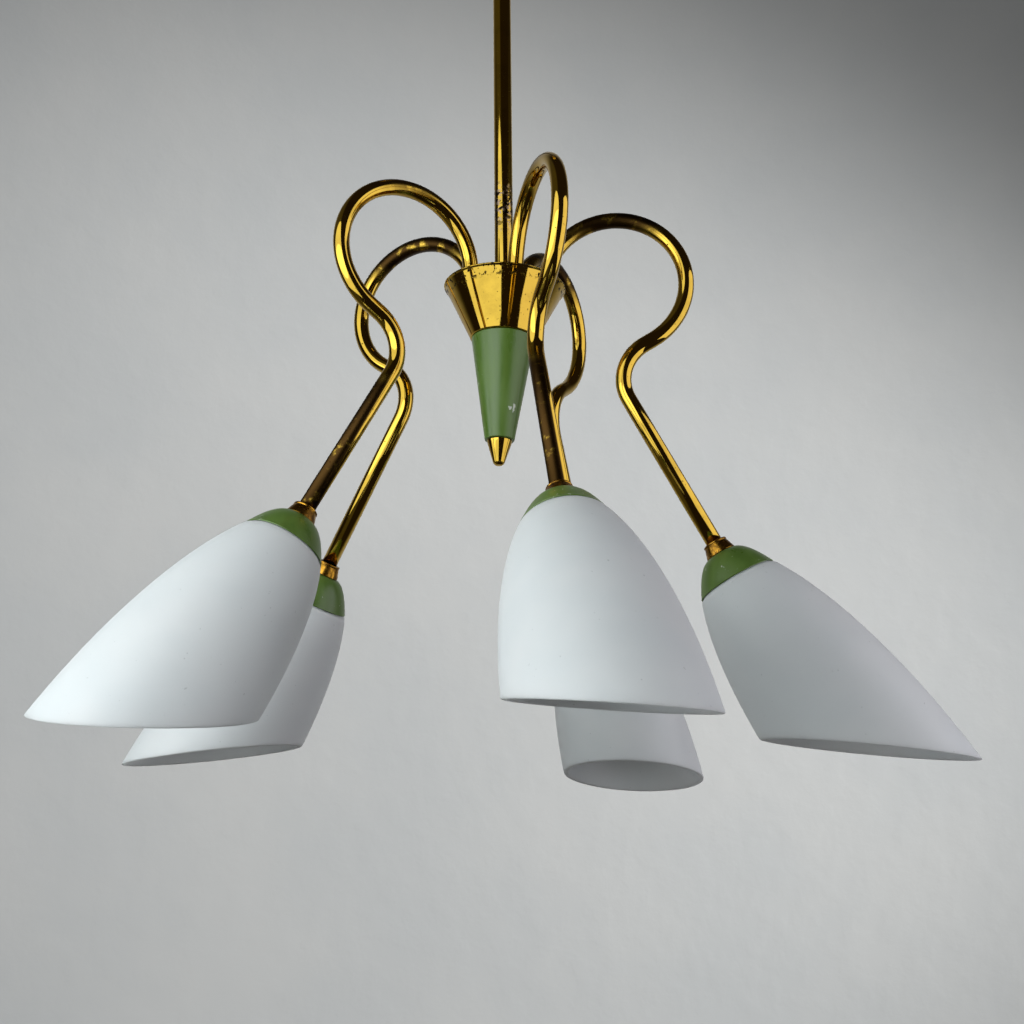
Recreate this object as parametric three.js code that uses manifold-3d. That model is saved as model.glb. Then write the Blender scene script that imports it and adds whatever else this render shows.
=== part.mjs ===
// Five-arm ceiling chandelier: a brass stem, a conical brass cup over a green cone, and five looped
// brass arms that each carry a green cap, a lampholder and an opal glass shade cut off level.
// Millimetres, +Z up. The origin is the middle of the bracket face that is screwed to the ceiling.
import * as THREE from 'three';
import { mergeVertices } from 'three/addons/utils/BufferGeometryUtils.js';
import Module from 'manifold-3d';

const wasm = await Module();
wasm.setup();

// ---- driving dimensions -------------------------------------------------------------------------
const RAD = Math.PI / 180;
const GAP = 0.3;                      // clearance left between two pieces that touch
const slideGap = 0.35;                // clearance of a bore that slides over a tube

const cupRimZ = -430;                 // height of the cup's rim under the ceiling
const bodyLean = 2.2;                 // degrees that the body hangs out of line with the stem, in its play
const stemRadius = 6;
const stemWall = 1;
const cableRadius = 2.5;
const cableSpace = 1.1;               // room round the mains cable in the threaded tubes
const nippleReach = 20;               // how far those tubes reach into the stem
const nutLand = 2.2;                  // a nut's flats lie this far outside its thread

const bracketPlate = 2.5;             // the bracket is a steel strap bent into a stirrup
const bracketWidth = 22;
const bracketInset = 10;              // it ends this far inside the canopy's rim
const stirrupHalfWidth = 17.5;
const stirrupDepth = 29;
const screwInset = 10;                // ceiling screws, from the bracket's ends
const screwHole = 2.5;
const topNutHeight = 5;
const terminalSize = [26, 14, 14];

const canopyRadius = 58;
const canopyDepth = 56;
const canopyCeilingGap = 1;           // the canopy stops just short of the ceiling
const canopyFlare = 1.4;              // 1 is an elliptical bell, more is a more conical one
const collarRadius = 10;
const collarHeight = 11;
const screwRadius = 1.5;
const screwHeadRadius = 4;
const screwHeadLength = 5;

const cupRimRadius = 38.6;
const cupFootRadius = 20.7;
const cupHeight = 35.6;
const cupLip = 0.5;                   // how far the rolled lip stands out
const sheet = 1;                      // thickness of the cup's and the canopy's brass sheet
const coneTopRadius = 20;
const coneFootRadius = 9.25;
const coneHeight = 67.4;
const coneWall = 1.5;
const finialHeight = 16;
const finialInset = 1.35;             // the finial is this much narrower than the cone's foot
const finialTipRadius = 3.2;
const finialThread = 3.5;             // length of the tie tube screwed into the finial
const hubDrop = 5;                    // top of the hub under the cup's rim
const hubThickness = 6;
const hubNutHeight = 3.5;
const tieReach = 12;                  // how far the tie tube reaches up into the stem
const tiePlay = 0.2;                  // room that lets it lean there
const junctionRadius = 15;
const junctionThickness = 7.3;
const cableCircle = 8.9;              // radius on which the mains cable meets the junction disc
const leadCircle = 11;                // radius on which the leads meet it

const armRadius = 5;
const armWall = 1.1;
const leadRadius = 2.2;
const armSpace = 0.5;                 // between an arm's foot and the cup's wall
const armFoot = -12.5;                // lower end of an arm, under the cup's rim
const loopStart = 2.2;                // height at which the arm starts its loop, over the cup's rim
const loopRadius = 45;
const loopSweep = 239;
const linkLength = 6;                 // short straight between the loop and the return bend
const returnRadius = 27.5;
const returnSweep = 87.5;
const dropLength = 105.5;             // straight part down to the ferrule
const tenonLength = 17;               // part of the arm that runs on into the lampholder

const ferruleLength = 8;
const ferruleWall = 2;
const ferruleFlare = 2.1;             // how much the ferrule widens downwards
const capHeight = 19;
const capWall = 0.8;
const capRound = 0.57;                // 0.5 is a parabolic dome, 1 is a cone
const holderNeckRadius = 8.5;
const holderNeckLength = 7.4;
const holderRadius = 13.2;
const holderLength = 42.4;
const socketBore = 7.8;
const socketDepth = 22;
const neckSeat = 21;                  // flat top of the glass's neck, under the ferrule's top
const neckWall = 3.3;
const shadeRingWall = 3.3;
const shadeRingHeight = 6;

const glassHalfLength = 160;          // the shade is part of a long egg-shaped ellipsoid
const glassHalfWidth = 48.6;
const glassCentre = 138.5;            // from the cap's rim to the ellipsoid's middle
const glassWall = 3;
const glassLean = 6.6;                // the glass leans outwards from the cap's axis
const mouthDrop = 115.1;              // the glass's mouth lies this far under the arm's end
const mouthSlope = 5.7;               // the mouth's outer side lies lower

const bulbRadius = 22.5;
const bulbLength = 76;
const bulbBaseLength = 20;
const bulbWall = 1;
const contactHole = 2;

// Sizes of what fits into, through or onto the pieces above.
const stemBore = stemRadius - stemWall;
const nippleRadius = stemBore - GAP;  // the threaded tubes fill the stem's bore
const nippleBore = cableRadius + cableSpace;
const tieRadius = nippleRadius - tiePlay;
const slideBore = stemRadius + slideGap;
const armBore = armRadius - armWall;
const armSleeve = armRadius + slideGap;
const capDepth = ferruleLength + capHeight;   // from the ferrule's top to the cap's rim

// Radius of the cup's outside at a height under its rim, a straight cone.
const cupRadius = (z) => cupRimRadius + ((cupRimRadius - cupFootRadius) * z) / cupHeight;
const armCircle = cupRadius(armFoot) - sheet - armSpace - armRadius;

// The arms stand 72 degrees apart. They are bent and fitted by hand: each one is turned a little in
// the hub, its loop is bent a degree more or less, and its glass is turned in the cap.
const arms = [
  { name: 'front', azimuth: -76, turn: 1, bend: 1, glassTurn: -1 },
  { name: 'right', azimuth: -4, turn: -2, bend: -1, glassTurn: 6 },
  { name: 'back', azimuth: 68, turn: -8, bend: -1, glassTurn: -5 },
  { name: 'left_rear', azimuth: 140, turn: 9.5, bend: 0, glassTurn: -11 },
  { name: 'left_front', azimuth: 212, turn: -1, bend: 1, glassTurn: -21 },
];

// ---- materials ----------------------------------------------------------------------------------
const finish = (color, roughness, metalness) =>
  new THREE.MeshStandardMaterial({ color, roughness, metalness });
const brass = finish(0xb8892f, 0.22, 1);
const bronze = finish(0x7a5a2c, 0.4, 1);
const zincSteel = finish(0x9a9c9e, 0.4, 1);
const greenLacquer = finish(0x5a7d45, 0.35, 0);
const opalGlass = finish(0xe6eaec, 0.45, 0);
const blackBakelite = finish(0x1c1a18, 0.4, 0);
const whitePlastic = finish(0xe2ded2, 0.5, 0);
const whiteRubber = finish(0xd9d4c6, 0.7, 0);

// ---- shape helpers ------------------------------------------------------------------------------
const group = new THREE.Group();

function add(parent, name, geometry, material) {
  const mesh = new THREE.Mesh(geometry, material);
  mesh.name = name;
  parent.add(mesh);
  return mesh;
}

// Turned piece about +Z. The profile is a list of [radius, height] points, closed on itself or
// starting and ending on the axis.
function turned(profile, segments) {
  const points = profile.map(([r, z]) => new THREE.Vector2(r, z));
  if (THREE.ShapeUtils.area(points) < 0) points.reverse();
  if (points[0].x > 0 || points[points.length - 1].x > 0) points.push(points[0].clone());
  return new THREE.LatheGeometry(points, segments).rotateX(Math.PI / 2);
}

function ring(outer, inner, low, high, segments) {
  return turned([[inner, low], [outer, low], [outer, high], [inner, high]], segments);
}

function pin(radius, low, high, segments) {
  return turned([[0, low], [radius, low], [radius, high], [0, high]], segments);
}

function polygon(radius, sides) {
  return Array.from({ length: sides }, (_, i) => {
    const angle = (2 * Math.PI * (i + 0.5)) / sides;
    return new THREE.Vector2(radius * Math.cos(angle), radius * Math.sin(angle));
  });
}

function hexNut(threadRadius, low, height) {
  const acrossCorners = (threadRadius + nutLand) / Math.cos(30 * RAD);
  const shape = new THREE.Shape(polygon(acrossCorners, 6));
  shape.holes.push(new THREE.Path(polygon(threadRadius + slideGap, 12)));
  const nut = new THREE.ExtrudeGeometry(shape, { depth: height, bevelEnabled: false });
  return nut.translate(0, 0, low);
}

// A line that a tube follows, given as stations along it: bends get several, straights none between.
class Route extends THREE.Curve {
  constructor(stations) {
    super();
    this.stations = stations;
  }
  station(u) {
    return this.stations[Math.round(u * (this.stations.length - 1))];
  }
  getPointAt(u) {
    return this.station(u).point.clone();
  }
  getTangentAt(u) {
    return this.station(u).tangent.clone();
  }
}

// Walks in the XZ plane from a start point. Each move is a straight { length } or a bend
// { radius, sweep } in degrees, where a positive sweep turns from +Z towards +X.
function walk(x, z, heading, moves, stepAngle) {
  const stations = [];
  let angle = heading * RAD;
  const forward = () => new THREE.Vector3(Math.sin(angle), 0, Math.cos(angle));
  const point = new THREE.Vector3(x, 0, z);
  const mark = () => stations.push({ point: point.clone(), tangent: forward() });
  mark();
  for (const { length, radius, sweep } of moves) {
    if (length !== undefined) {
      point.addScaledVector(forward(), length);
      mark();
      continue;
    }
    const steps = Math.ceil(Math.abs(sweep) / stepAngle);
    const turn = (sweep * RAD) / steps;
    const chord = 2 * radius * Math.sin(Math.abs(turn) / 2);
    for (let i = 0; i < steps; i++) {
      angle += turn / 2;
      point.addScaledVector(forward(), chord);
      angle += turn / 2;
      mark();
    }
  }
  return stations;
}

// Moves that step sideways over a drop: a bend, a slanted straight, a bend back and a straight.
function jog(across, drop, radius, sweep) {
  const slope = Math.abs(sweep) * RAD;
  const slant = (across - 2 * radius * (1 - Math.cos(slope))) / Math.sin(slope);
  const tail = drop - 2 * radius * Math.sin(slope) - slant * Math.cos(slope);
  return [{ radius, sweep }, { length: slant }, { radius, sweep: -sweep }, { length: tail }];
}

const upAxis = new THREE.Vector3(0, 0, 1);

function turnStations(stations, degrees, axis = upAxis, middle = new THREE.Vector3()) {
  return stations.map(({ point, tangent }) => ({
    point: point.clone().sub(middle).applyAxisAngle(axis, degrees * RAD).add(middle),
    tangent: tangent.clone().applyAxisAngle(axis, degrees * RAD),
  }));
}

function backwards(stations) {
  return stations.reverse().map(({ point, tangent }) => ({ point, tangent: tangent.negate() }));
}

function tube(stations, radius, sides, bore = 0, boreSides = sides) {
  const shape = new THREE.Shape(polygon(radius, sides));
  if (bore > 0) shape.holes.push(new THREE.Path(polygon(bore, boreSides)));
  const route = new Route(stations);
  return new THREE.ExtrudeGeometry(shape, { steps: stations.length - 1, extrudePath: route });
}

function solid(geometry) {
  const bare = geometry.clone();
  bare.deleteAttribute('normal');
  bare.deleteAttribute('uv');
  const merged = mergeVertices(bare, 1e-4);
  const vertProperties = new Float32Array(merged.attributes.position.array);
  const triVerts = new Uint32Array(merged.index.array);
  return new wasm.Manifold(new wasm.Mesh({ numProp: 3, vertProperties, triVerts }));
}

function shapeOf(manifold) {
  const mesh = manifold.getMesh();
  const geometry = new THREE.BufferGeometry();
  geometry.setAttribute('position', new THREE.BufferAttribute(mesh.vertProperties, 3));
  geometry.setIndex(new THREE.BufferAttribute(mesh.triVerts, 1));
  return geometry;
}

function cut(geometry, tools) {
  return shapeOf(tools.reduce((body, tool) => body.subtract(solid(tool)), solid(geometry)));
}

// ---- ceiling bracket, its nipple and nut, and the mains terminal -----------------------------------
const bracketHalfLength = canopyRadius - bracketInset;
const stirrupFloor = bracketPlate - stirrupDepth;
const topNutFoot = stirrupFloor + GAP;
const nippleTop = topNutFoot + topNutHeight + nutLand;
const stemTop = -stirrupDepth - GAP;
const terminalTop = stirrupFloor + bracketPlate;
const terminalY = bracketWidth / 2 + GAP + terminalSize[1] / 2;

function outline(path, corners) {
  corners.forEach(([x, y], i) => (i === 0 ? path.moveTo(x, y) : path.lineTo(x, y)));
  return path;
}

// Side view of the strap: two flanges on the ceiling and a stirrup closed by a plate at the top.
function ceilingBracket() {
  const shape = outline(new THREE.Shape(), [
    [-bracketHalfLength, 0], [-bracketHalfLength, -bracketPlate],
    [-stirrupHalfWidth, -bracketPlate], [-stirrupHalfWidth, -stirrupDepth],
    [stirrupHalfWidth, -stirrupDepth], [stirrupHalfWidth, -bracketPlate],
    [bracketHalfLength, -bracketPlate], [bracketHalfLength, 0],
  ]);
  const inner = stirrupHalfWidth - bracketPlate;
  shape.holes.push(outline(new THREE.Path(), [
    [-inner, -bracketPlate], [inner, -bracketPlate], [inner, stirrupFloor], [-inner, stirrupFloor],
  ]));
  const strap = new THREE.ExtrudeGeometry(shape, { depth: bracketWidth, bevelEnabled: false });
  strap.rotateX(Math.PI / 2).translate(0, bracketWidth / 2, 0);
  const screwX = bracketHalfLength - screwInset;
  const holes = [-screwX, screwX].map((x) => {
    return pin(screwHole, -2 * bracketPlate, bracketPlate, 12).translate(x, 0, 0);
  });
  const nippleHole = pin(nippleRadius + GAP, -stirrupDepth - bracketPlate, nippleTop, 16);
  return cut(strap, [...holes, nippleHole]);
}

function terminal() {
  const block = new THREE.BoxGeometry(...terminalSize);
  return block.translate(0, terminalY, terminalTop - terminalSize[2] / 2);
}

add(group, 'ceiling_bracket', ceilingBracket(), zincSteel);
add(group, 'top_nipple', ring(nippleRadius, nippleBore, stemTop - nippleReach, nippleTop, 12), zincSteel);
add(group, 'top_nut', hexNut(nippleRadius, topNutFoot, topNutHeight), zincSteel);
add(group, 'ceiling_terminal', terminal(), whitePlastic);

// ---- canopy, which slides down the stem, with its collar and clamping screw -------------------------
const canopyFoot = -canopyCeilingGap - canopyDepth;
const collarTop = canopyFoot - GAP;
const screwZ = collarTop - collarHeight / 2;

// Bell curve from the rim down to the floor, for a given rim radius and depth.
function bell(rimRadius, depth) {
  const bellSteps = 5;
  return Array.from({ length: bellSteps + 1 }, (_, i) => {
    const angle = ((i / bellSteps) * Math.PI) / 2;
    const share = i === bellSteps ? 0 : Math.cos(angle) ** canopyFlare;
    const radius = collarRadius + (rimRadius - collarRadius) * share;
    return [radius, -canopyCeilingGap - depth * Math.sin(angle)];
  });
}

function canopy() {
  const outside = bell(canopyRadius, canopyDepth);
  const inside = bell(canopyRadius - sheet, canopyDepth - sheet).reverse();
  return turned([...outside, [slideBore, canopyFoot], [slideBore, canopyFoot + sheet], ...inside], 20);
}

function collar() {
  const body = ring(collarRadius, slideBore, collarTop - collarHeight, collarTop, 16);
  const hole = pin(screwRadius + GAP, 0, 2 * collarRadius, 8);
  return cut(body, [hole.rotateY(Math.PI / 2).translate(0, 0, screwZ)]);
}

function clampScrew() {
  const tip = stemRadius + GAP;
  const head = collarRadius + GAP;
  const end = head + screwHeadLength;
  const shank = [[0, tip], [screwRadius, tip], [screwRadius, head]];
  const profile = [...shank, [screwHeadRadius, head], [screwHeadRadius, end], [0, end]];
  return turned(profile, 8).rotateY(Math.PI / 2).translate(0, 0, screwZ);
}

add(group, 'canopy', canopy(), brass);
add(group, 'canopy_collar', collar(), brass);
add(group, 'canopy_screw', clampScrew(), brass);

// ---- centre body: stem, hub, tie tube, junction disc, cup, cone and finial --------------------------
// Heights in this group are measured from the cup's rim.
const centre = new THREE.Group();
centre.position.z = cupRimZ;
group.add(centre);

const hubFoot = -hubDrop - hubThickness;
const hubMiddle = new THREE.Vector3(0, 0, (hubFoot - hubDrop) / 2);
const leanAxis = new THREE.Vector3(0, 1, 0);

// The body is all that hangs on the stem. It leans about the middle of the hub, towards +X at its top.
const leaning = new THREE.Group();
leaning.position.copy(hubMiddle);
leaning.rotateOnAxis(leanAxis, bodyLean * RAD);
centre.add(leaning);
const body = new THREE.Group();
body.position.copy(hubMiddle).negate();
leaning.add(body);

const stemFoot = hubFoot - 1.5;
const cupFloor = -cupHeight + sheet;
const tieBore = tieRadius + GAP;       // of what sits on the tie tube
const coneTop = -cupHeight - GAP;
const coneFoot = coneTop - coneHeight;
const finialTop = coneFoot - GAP;
const finialFoot = finialTop - finialHeight;
const tieFoot = finialTop - finialThread;
const junctionFoot = cupFloor + GAP;
const junctionTop = junctionFoot + junctionThickness;
const cableStart = stemFoot - 2.5;    // where the cable turns out of the tie tube
const windowAzimuth = (arms[1].azimuth + arms[2].azimuth) / 2;

// The rolled lip stands out a little, halfway down its own height.
function cup() {
  const lipFoot = -3 * cupLip;
  return turned([
    [cupRimRadius, 0], [cupRimRadius + cupLip, lipFoot / 2], [cupRadius(lipFoot), lipFoot],
    [cupFootRadius, -cupHeight], [tieBore, -cupHeight], [tieBore, cupFloor],
    [cupRadius(cupFloor) - sheet, cupFloor], [cupRimRadius - sheet, 0],
  ], 24);
}

function hub() {
  const inCup = (z) => cupRadius(z) - sheet - 2 * GAP;
  const foot = [[slideBore, hubFoot], [inCup(hubFoot), hubFoot]];
  const disc = turned([...foot, [inCup(-hubDrop), -hubDrop], [slideBore, -hubDrop]], 24);
  const holes = arms.map(({ azimuth }) => {
    const hole = pin(armSleeve, 2 * hubFoot, 0, 12);
    return hole.translate(armCircle, 0, 0).rotateZ(azimuth * RAD);
  });
  return cut(disc, holes);
}

// The window in the tie tube's side lets the mains cable out into the cup.
function tieTube() {
  const wall = ring(tieRadius, nippleBore, tieFoot, stemFoot + tieReach, 12);
  const width = 2 * cableRadius + 2 * GAP;
  const height = 4 * cableRadius;
  const opening = new THREE.BoxGeometry(stemRadius, width, height);
  opening.translate(cableRadius + stemRadius / 2, 0, cableStart - height / 2);
  return cut(wall, [opening.rotateZ(windowAzimuth * RAD)]);
}

function cone() {
  return turned([
    [tieBore, coneTop], [coneTopRadius, coneTop], [coneFootRadius, coneFoot], [tieBore, coneFoot],
    [tieBore, coneFoot + coneWall], [coneFootRadius - coneWall, coneFoot + coneWall],
    [coneTopRadius - coneWall, coneTop - coneWall], [tieBore, coneTop - coneWall],
  ], 20);
}

// The tip of the finial is bevelled, and its threaded bore is blind.
function finial() {
  const bevel = 1.2;
  return turned([
    [tieBore, finialTop], [coneFootRadius - finialInset, finialTop],
    [finialTipRadius, finialFoot + bevel], [finialTipRadius - bevel, finialFoot], [0, finialFoot],
    [0, tieFoot - GAP], [tieBore, tieFoot - GAP],
  ], 16);
}

add(centre, 'stem_tube', ring(stemRadius, stemBore, stemFoot, stemTop - cupRimZ, 16), brass);
add(body, 'hub', hub(), brass);
add(body, 'tie_tube', tieTube(), zincSteel);
add(body, 'cup', cup(), brass);
add(body, 'green_cone', cone(), greenLacquer);
add(body, 'finial', finial(), brass);
add(body, 'junction_disc', ring(junctionRadius, tieBore, junctionFoot, junctionTop, 16), blackBakelite);

// The mains cable runs from the terminal over into the nipple, down the stem and out of the window
// to the junction disc.
const cableBend = 5;                  // bending radius of the cable and of the leads
const wireEnd = junctionTop + GAP;      // height at which the cable and the leads end
const archRise = 3;                   // the cable rises this far over the nipple before it bends

function supplyCable() {
  const out = walk(0, cableStart, 180, jog(cableCircle, cableStart - wireEnd, cableBend, -75), 15);
  const arch = nippleTop + archRise - cupRimZ;
  const over = walk(0, arch, 0, [
    { radius: cableBend, sweep: 90 }, { length: terminalY - 2 * cableBend },
    { radius: cableBend, sweep: 90 }, { length: arch - (terminalTop + GAP - cupRimZ) },
  ], 22.5);
  const lower = turnStations(turnStations(out, windowAzimuth), bodyLean, leanAxis, hubMiddle);
  return tube([...backwards(turnStations(over, 90)), ...lower], cableRadius, 8);
}

add(centre, 'supply_cable', supplyCable(), whiteRubber);

// ---- one arm with its ferrule, cap, lampholder, glass, ring, bulb and lead -------------------------
const armStep = 18;                   // bends are drawn in steps of this many degrees

function armMoves(bend, tail = 0) {
  return [
    { length: loopStart - armFoot }, { radius: loopRadius, sweep: loopSweep + bend },
    { length: linkLength }, { radius: returnRadius, sweep: -returnSweep },
    { length: dropLength + tail },
  ];
}

function armEnd(bend) {
  return walk(0, armFoot, 0, armMoves(bend), armStep).pop().point;
}

function endHeading(bend) {
  return loopSweep + bend - returnSweep;
}

function armTube(bend) {
  return tube(walk(0, armFoot, 0, armMoves(bend, tenonLength), armStep), armRadius, 8, armBore, 5);
}

// Heights from here on are measured along the arm's end, down from the ferrule's top.
const holderTop = ferruleLength + 5 * GAP;
const holderShoulder = holderTop + holderNeckLength;
const holderFoot = holderTop + holderLength;
const socketTop = holderFoot - socketDepth;
const ringTop = neckSeat + neckWall + GAP;
const ringBore = holderRadius + 2 * GAP;
const bulbTop = socketTop + 2 * GAP;
const leadReach = socketTop - 4;      // the lead ends at the lampholder's terminals

// The lead comes up from the junction disc, bends over to the arm's foot and runs inside the arm.
function lead(turn, bend) {
  const start = armFoot - GAP;
  const moves = jog(armCircle - leadCircle, start - wireEnd, cableBend, 80);
  const foot = backwards(walk(0, start, 180, moves, 20));
  const inArm = walk(0, armFoot, 0, armMoves(bend, leadReach), armStep).slice(1);
  return tube([...foot, ...turnStations(inArm, turn)], leadRadius, 4);
}

function ferrule() {
  const top = armSleeve + ferruleWall;
  const bead = 0.6;
  return turned([
    [armSleeve, 0], [top - bead, 0], [top, bead], [top - bead, 2 * bead],
    [top + ferruleFlare, ferruleLength], [armSleeve, ferruleLength],
  ], 12);
}

// Dome from the foot of the ferrule to the cap's rim.
function dome(top, rimRadius) {
  const topRadius = armSleeve + ferruleWall + ferruleFlare - GAP;
  return [0, 0.12, 0.32, 0.66, 1].map((share) => {
    const radius = topRadius + (rimRadius - topRadius) * share ** capRound;
    return [radius, top + (capDepth - top) * share];
  });
}

// The glass comes out flush with the cap's rim.
function cap() {
  const top = ferruleLength + GAP;
  const rimRadius = eggRadius(0, 0);
  const inside = dome(top + sheet, rimRadius - capWall).reverse();
  return turned([[armSleeve, top], ...dome(top, rimRadius), ...inside, [armSleeve, top + sheet]], 16);
}

function lampholder() {
  const armSeat = tenonLength + GAP;
  const leadHole = leadRadius + 4 * GAP;
  return turned([
    [armSleeve, holderTop], [holderNeckRadius, holderTop], [holderNeckRadius, holderShoulder],
    [holderRadius, holderShoulder + 2], [holderRadius, holderFoot], [socketBore, holderFoot],
    [socketBore, socketTop], [leadHole, socketTop - 1], [leadHole, armSeat], [armSleeve, armSeat],
  ], 12);
}

function shadeRing() {
  return ring(ringBore + shadeRingWall, ringBore, ringTop, ringTop + shadeRingHeight, 14);
}

// Skin of a small round bulb, shrunk by an inset: screwed base, tapered neck and a globe.
function bulbSkin(inset) {
  const baseRadius = socketBore - 1 - inset;
  const globeMiddle = bulbTop + bulbLength - bulbRadius;
  const globe = [-40, 0, 30, 60, 90].map((angle) => {
    const radius = (bulbRadius - inset) * Math.cos(angle * RAD);
    return [angle === 90 ? 0 : radius, globeMiddle + (bulbRadius - inset) * Math.sin(angle * RAD)];
  });
  const base = [[contactHole, bulbTop + inset], [baseRadius / 2, bulbTop + inset]];
  return [...base, [baseRadius, bulbTop + 3], [baseRadius, bulbTop + bulbBaseLength], ...globe];
}

// The bulb is a thin hollow shell, open at the contact in its base.
function bulb() {
  return turned([...bulbSkin(0), ...bulbSkin(bulbWall).reverse()], 10);
}

// Radius of the egg-shaped ellipsoid, shrunk by an inset, at a depth under the cap's rim.
function eggRadius(depth, inset) {
  const along = (glassCentre - depth) / (glassHalfLength - inset);
  return (glassHalfWidth - inset) * Math.sqrt(1 - along * along);
}

// The neck is coaxial with the cap, and the body leans outwards from it.
function leanOf(depth) {
  return glassLean * RAD * THREE.MathUtils.smoothstep(depth, 0, 12);
}

// The neck is clamped between the cap and the shade ring. Depths are measured from the cap's rim,
// and the last one lies well past the mouth.
function glassShade() {
  const depths = [3, 10, 22, 42, 70, 104, 144, 190];
  const wall = (inset) => depths.map((depth) => [eggRadius(depth, inset), capDepth + depth]);
  const rimRadius = eggRadius(0, 0);
  const neckBore = ringBore + GAP;
  const neckFoot = neckSeat + neckWall;
  const nearRim = capDepth - GAP;
  const neckOut = [
    [neckBore, neckSeat], [neckBore + neckWall, neckSeat + GAP], [rimRadius - 3, neckFoot - GAP],
    [rimRadius - 2 * capWall, nearRim],
  ];
  const neckIn = [
    [rimRadius - 2 * capWall - glassWall, nearRim], [neckBore + glassWall, neckFoot], [neckBore, neckFoot],
  ];
  const body = turned([...neckOut, ...wall(0), ...wall(glassWall).reverse(), ...neckIn], 18);
  const position = body.attributes.position;
  const rim = new THREE.Vector3(0, 0, capDepth);
  const across = new THREE.Vector3(0, 1, 0);
  for (let i = 0; i < position.count; i++) {
    const p = new THREE.Vector3().fromBufferAttribute(position, i).sub(rim);
    p.applyAxisAngle(across, leanOf(p.z)).add(rim);
    position.setXYZ(i, p.x, p.y, p.z);
  }
  return body;
}

// Everything below the mouth's plane, as a block in the frame of the arm's end.
function belowMouth() {
  const size = 4 * glassHalfLength;
  const block = new THREE.BoxGeometry(size, size, size).translate(0, 0, -size / 2);
  block.rotateY(mouthSlope * RAD).translate(0, 0, -mouthDrop);
  return block.rotateY(-endHeading(0) * RAD).rotateZ(Math.PI);
}

const shadeBlank = cut(glassShade(), [belowMouth()]);

for (const { name, azimuth, turn, bend, glassTurn } of arms) {
  const stand = new THREE.Group();
  stand.rotation.z = azimuth * RAD;
  body.add(stand);
  const foot = new THREE.Group();
  foot.position.x = armCircle;
  stand.add(foot);
  const bent = new THREE.Group();
  bent.rotation.z = turn * RAD;
  foot.add(bent);
  // +Z of this frame runs down the arm's end and +X looks outwards.
  const end = new THREE.Group();
  end.position.copy(armEnd(bend));
  end.rotation.set(0, endHeading(bend) * RAD, Math.PI);
  bent.add(end);

  add(bent, `arm_tube_${name}`, armTube(bend), brass);
  add(bent, `arm_nut_${name}`, hexNut(armRadius, -hubDrop + GAP, hubNutHeight), brass);
  add(foot, `arm_lead_${name}`, lead(turn, bend), whiteRubber);
  add(end, `ferrule_${name}`, ferrule(), bronze);
  add(end, `green_cap_${name}`, cap(), greenLacquer);
  add(end, `lampholder_${name}`, lampholder(), blackBakelite);
  add(end, `shade_ring_${name}`, shadeRing(), blackBakelite);
  add(end, `glass_shade_${name}`, shadeBlank, opalGlass).rotation.z = glassTurn * RAD;
  add(end, `bulb_${name}`, bulb(), opalGlass);
}

export default group;
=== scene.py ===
# Five-arm ceiling chandelier: lacquered brass stem, cup and looped arms, a green lacquered cone and
# caps, and five opal glass shades cut off level. The pieces follow in the order in which the light
# hangs together, from the ceiling down. Shapes are drawn in millimetres and placed in metres.
import math

import bmesh
import bpy
from mathutils import Matrix, Vector


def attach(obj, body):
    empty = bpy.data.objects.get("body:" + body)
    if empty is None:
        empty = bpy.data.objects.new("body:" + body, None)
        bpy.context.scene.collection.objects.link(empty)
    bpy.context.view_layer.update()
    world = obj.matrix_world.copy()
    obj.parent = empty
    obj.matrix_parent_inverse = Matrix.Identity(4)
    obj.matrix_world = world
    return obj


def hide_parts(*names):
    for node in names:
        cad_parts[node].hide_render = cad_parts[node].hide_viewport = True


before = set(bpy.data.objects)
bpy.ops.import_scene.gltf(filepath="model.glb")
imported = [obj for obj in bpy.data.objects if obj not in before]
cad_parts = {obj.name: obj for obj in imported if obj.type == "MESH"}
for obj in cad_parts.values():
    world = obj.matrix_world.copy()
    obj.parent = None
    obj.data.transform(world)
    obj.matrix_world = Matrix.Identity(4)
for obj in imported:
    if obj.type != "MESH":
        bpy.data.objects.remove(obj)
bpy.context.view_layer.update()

# ---- ceiling bracket -----------------------------------------------------------------
# A strap of zinc-plated steel with a stirrup folded from the same strap and welded under it. Two
# wood screws hold it to the ceiling, and the nipple hangs in the hole of the stirrup's floor. Sizes of
# holes and of all round pieces are radii.
touch_gap = 0.3                       # clearance between pieces that touch
strap = 2.5
strap_width = 22
strap_half_length = 48
stirrup_half_width = 17.5
stirrup_depth = 29
stirrup_bend = 2.2
screw_hole = 2.5
screw_hole_at = 38
nipple_hole = 5


def linear(colour):
    """Turns an sRGB hex colour into linear RGBA."""
    parts = [int(colour[i:i + 2], 16) / 255 for i in (1, 3, 5)]
    return (*[c / 12.92 if c <= 0.04045 else ((c + 0.055) / 1.055) ** 2.4 for c in parts], 1)


def per(size):
    """Scale of a pattern on Object coordinates whose features are this many millimetres apart."""
    return 1000 / size


def add_node(tree, kind, inputs=None, **settings):
    """Adds a node with its settings. An input takes a value, or a socket that is linked to it."""
    made = tree.nodes.new(kind)
    for name, value in settings.items():
        setattr(made, name, value)
    for socket, value in (inputs or {}).items():
        if isinstance(value, bpy.types.NodeSocket):
            tree.links.new(value, made.inputs[socket])
        else:
            made.inputs[socket].default_value = value
    return made


def new_finish(name):
    """A material with an empty tree, its Object coordinates and its output."""
    material = bpy.data.materials.new(name)
    material.use_nodes = True
    tree = material.node_tree
    tree.nodes.clear()
    at = add_node(tree, "ShaderNodeTexCoord").outputs["Object"]
    return material, tree, at


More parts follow.
